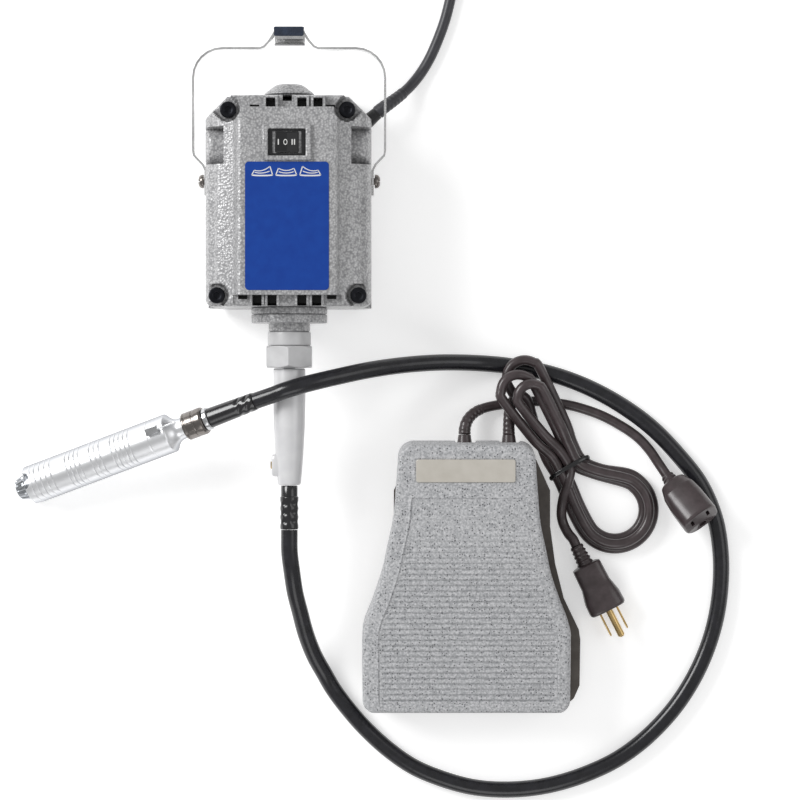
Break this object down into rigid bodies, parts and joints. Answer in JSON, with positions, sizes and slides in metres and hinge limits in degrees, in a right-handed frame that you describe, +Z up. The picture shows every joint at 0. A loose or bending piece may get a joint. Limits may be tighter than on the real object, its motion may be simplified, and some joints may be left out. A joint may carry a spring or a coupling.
{
  "type": "rotary tool with flex shaft",
  "caption": "Hanging electric motor with a flexible sheathed drive shaft, a chuck handpiece and a foot speed pedal, with cords and plugs.",
  "frame": {"origin": "under the middle of the footprint of the motor, handpiece and pedal, on the surface they lie on", "axes": "+Z up from the surface, +Y from the motor nose to its hook, +X from the handpiece to the pedal side"},
  "size_m": [0.4976, 0.6664, 0.0948],
  "materials": {
    "painted_casting": "hammertone enamel",
    "black_steel": "black oxide",
    "zinc_strap": "bright zinc plate",
    "steel": "ground",
    "laminations": "stacked sheet",
    "commutator_copper": "turned copper",
    "light_casting": "smooth light grey enamel",
    "set_screw_brass": "turned",
    "black_plastic": "moulded",
    "carbon": "pressed carbon",
    "grip_aluminium": "polished and grooved",
    "collar_nickel": "dark nickel",
    "treadle_paint": "speckled enamel",
    "nameplate_metal": "satin, bare",
    "base_plastic": "moulded",
    "pad_rubber": "moulded",
    "sheath_vinyl": "soft gloss",
    "motor_cord_vinyl": "soft gloss",
    "pedal_cord_vinyl": "soft gloss"
  },
  "bodies": {
    "root": {"housing_front": "painted_casting", "housing_rear": "painted_casting", "rear_bearing_cap": "painted_casting", "end_bell": "painted_casting", "switch_bezel": "painted_casting", "cap_screw_1": "black_steel", "cap_screw_2": "black_steel", "cap_screw_3": "black_steel", "cap_screw_4": "black_steel", "pivot_screw_left": "black_steel", "pivot_screw_right": "black_steel", "hex_nut": "steel", "front_bearing": "steel", "rear_bearing": "steel", "spindle_bearing_front": "steel", "spindle_bearing_rear": "steel", "latch": "steel", "hinge_pin": "steel", "return_spring": "steel", "field_stack": "laminations", "sheath_nose": "light_casting", "nose_set_screw": "set_screw_brass", "switch_body": "black_plastic", "brush_holder_left": "black_plastic", "brush_holder_right": "black_plastic", "motor_ferrule": "black_plastic", "handpiece_ferrule": "black_plastic", "motor_cord_gland": "black_plastic", "cord_glands": "black_plastic", "speed_control": "black_plastic", "carbon_brush_left": "carbon", "carbon_brush_right": "carbon", "handpiece_shell": "grip_aluminium", "quick_collar": "collar_nickel", "pedal_base": "base_plastic", "base_pad": "pad_rubber", "flex_sheath": "sheath_vinyl", "motor_cord": "motor_cord_vinyl", "motor_cord_coil": "motor_cord_vinyl", "motor_plug": "motor_cord_vinyl", "pedal_lead": "pedal_cord_vinyl", "receptacle": "pedal_cord_vinyl", "supply_cord_hank": "pedal_cord_vinyl", "supply_cord_tail": "pedal_cord_vinyl", "supply_plug": "pedal_cord_vinyl"},
    "bail": {"bail": "zinc_strap"},
    "rocker": {"rocker": "black_plastic"},
    "armature": {"armature_shaft": "steel", "armature_core": "laminations", "commutator": "commutator_copper", "cooling_fan": "light_casting"},
    "spindle": {"spindle": "steel", "drive_key": "steel"},
    "chuck_sleeve": {"chuck_sleeve": "steel"},
    "chuck_jaw_1": {"chuck_jaw_1": "steel"},
    "chuck_jaw_2": {"chuck_jaw_2": "steel"},
    "chuck_jaw_3": {"chuck_jaw_3": "steel"},
    "treadle": {"treadle": "treadle_paint", "nameplate": "nameplate_metal"},
    "control_plunger": {"control_plunger": "black_plastic"}
  },
  "joints": [
    {"name": "bail_swing", "type": "hinge", "parent": "root", "child": "bail", "pos_m": [-0.0047, 0.1304, 0.046], "axis": [1, 0, 0], "range_deg": [-15, 140]},
    {"name": "rocker_tilt", "type": "hinge", "parent": "root", "child": "rocker", "pos_m": [-0.0047, 0.1534, 0.0908], "axis": [0, 1, 0], "range_deg": [-12, 12]},
    {"name": "armature_spin", "type": "hinge", "parent": "root", "child": "armature", "pos_m": [-0.0047, 0.0441, 0.046], "axis": [0, 1, 0], "continuous": true},
    {"name": "spindle_spin", "type": "hinge", "parent": "root", "child": "spindle", "pos_m": [-0.1855, -0.0786, 0.01327], "axis": [0.9074, 0.3375, 0.2504], "continuous": true},
    {"name": "chuck_sleeve_turn", "type": "hinge", "parent": "spindle", "child": "chuck_sleeve", "pos_m": [-0.1855, -0.0786, 0.01327], "axis": [0.9074, 0.3375, 0.2504], "range_deg": [0, 150]},
    {"name": "jaw_1_slide", "type": "slide", "parent": "spindle", "child": "chuck_jaw_1", "axis": [0.2347, 0.0873, -0.9681], "range_m": [0, 0.0008]},
    {"name": "jaw_2_slide", "type": "slide", "parent": "spindle", "child": "chuck_jaw_2", "axis": [0.1845, -0.8553, 0.4841], "range_m": [0, 0.0008]},
    {"name": "jaw_3_slide", "type": "slide", "parent": "spindle", "child": "chuck_jaw_3", "axis": [-0.4192, 0.7681, 0.4841], "range_m": [0, 0.0008]},
    {"name": "treadle_press", "type": "hinge", "parent": "root", "child": "treadle", "pos_m": [0.1167, -0.2212, 0.022], "axis": [-1, 0, 0], "range_deg": [0, 6], "stiffness_Nm_per_rad": 30, "springref_deg": -2.86, "deforming": ["return_spring"]},
    {"name": "plunger_slide", "type": "slide", "parent": "root", "child": "control_plunger", "axis": [0, 0, -1], "range_m": [0, 0.0104]}
  ],
  "couplings": [
    {"joint": "spindle_spin", "follows": "armature_spin", "ratio": 1},
    {"joint": "plunger_slide", "follows": "treadle_press", "m_per_rad": 0.098},
    {"joint": "jaw_1_slide", "follows": "chuck_sleeve_turn", "m_per_rad": 0.00030176},
    {"joint": "jaw_2_slide", "follows": "chuck_sleeve_turn", "m_per_rad": 0.00030176},
    {"joint": "jaw_3_slide", "follows": "chuck_sleeve_turn", "m_per_rad": 0.00030176}
  ]
}
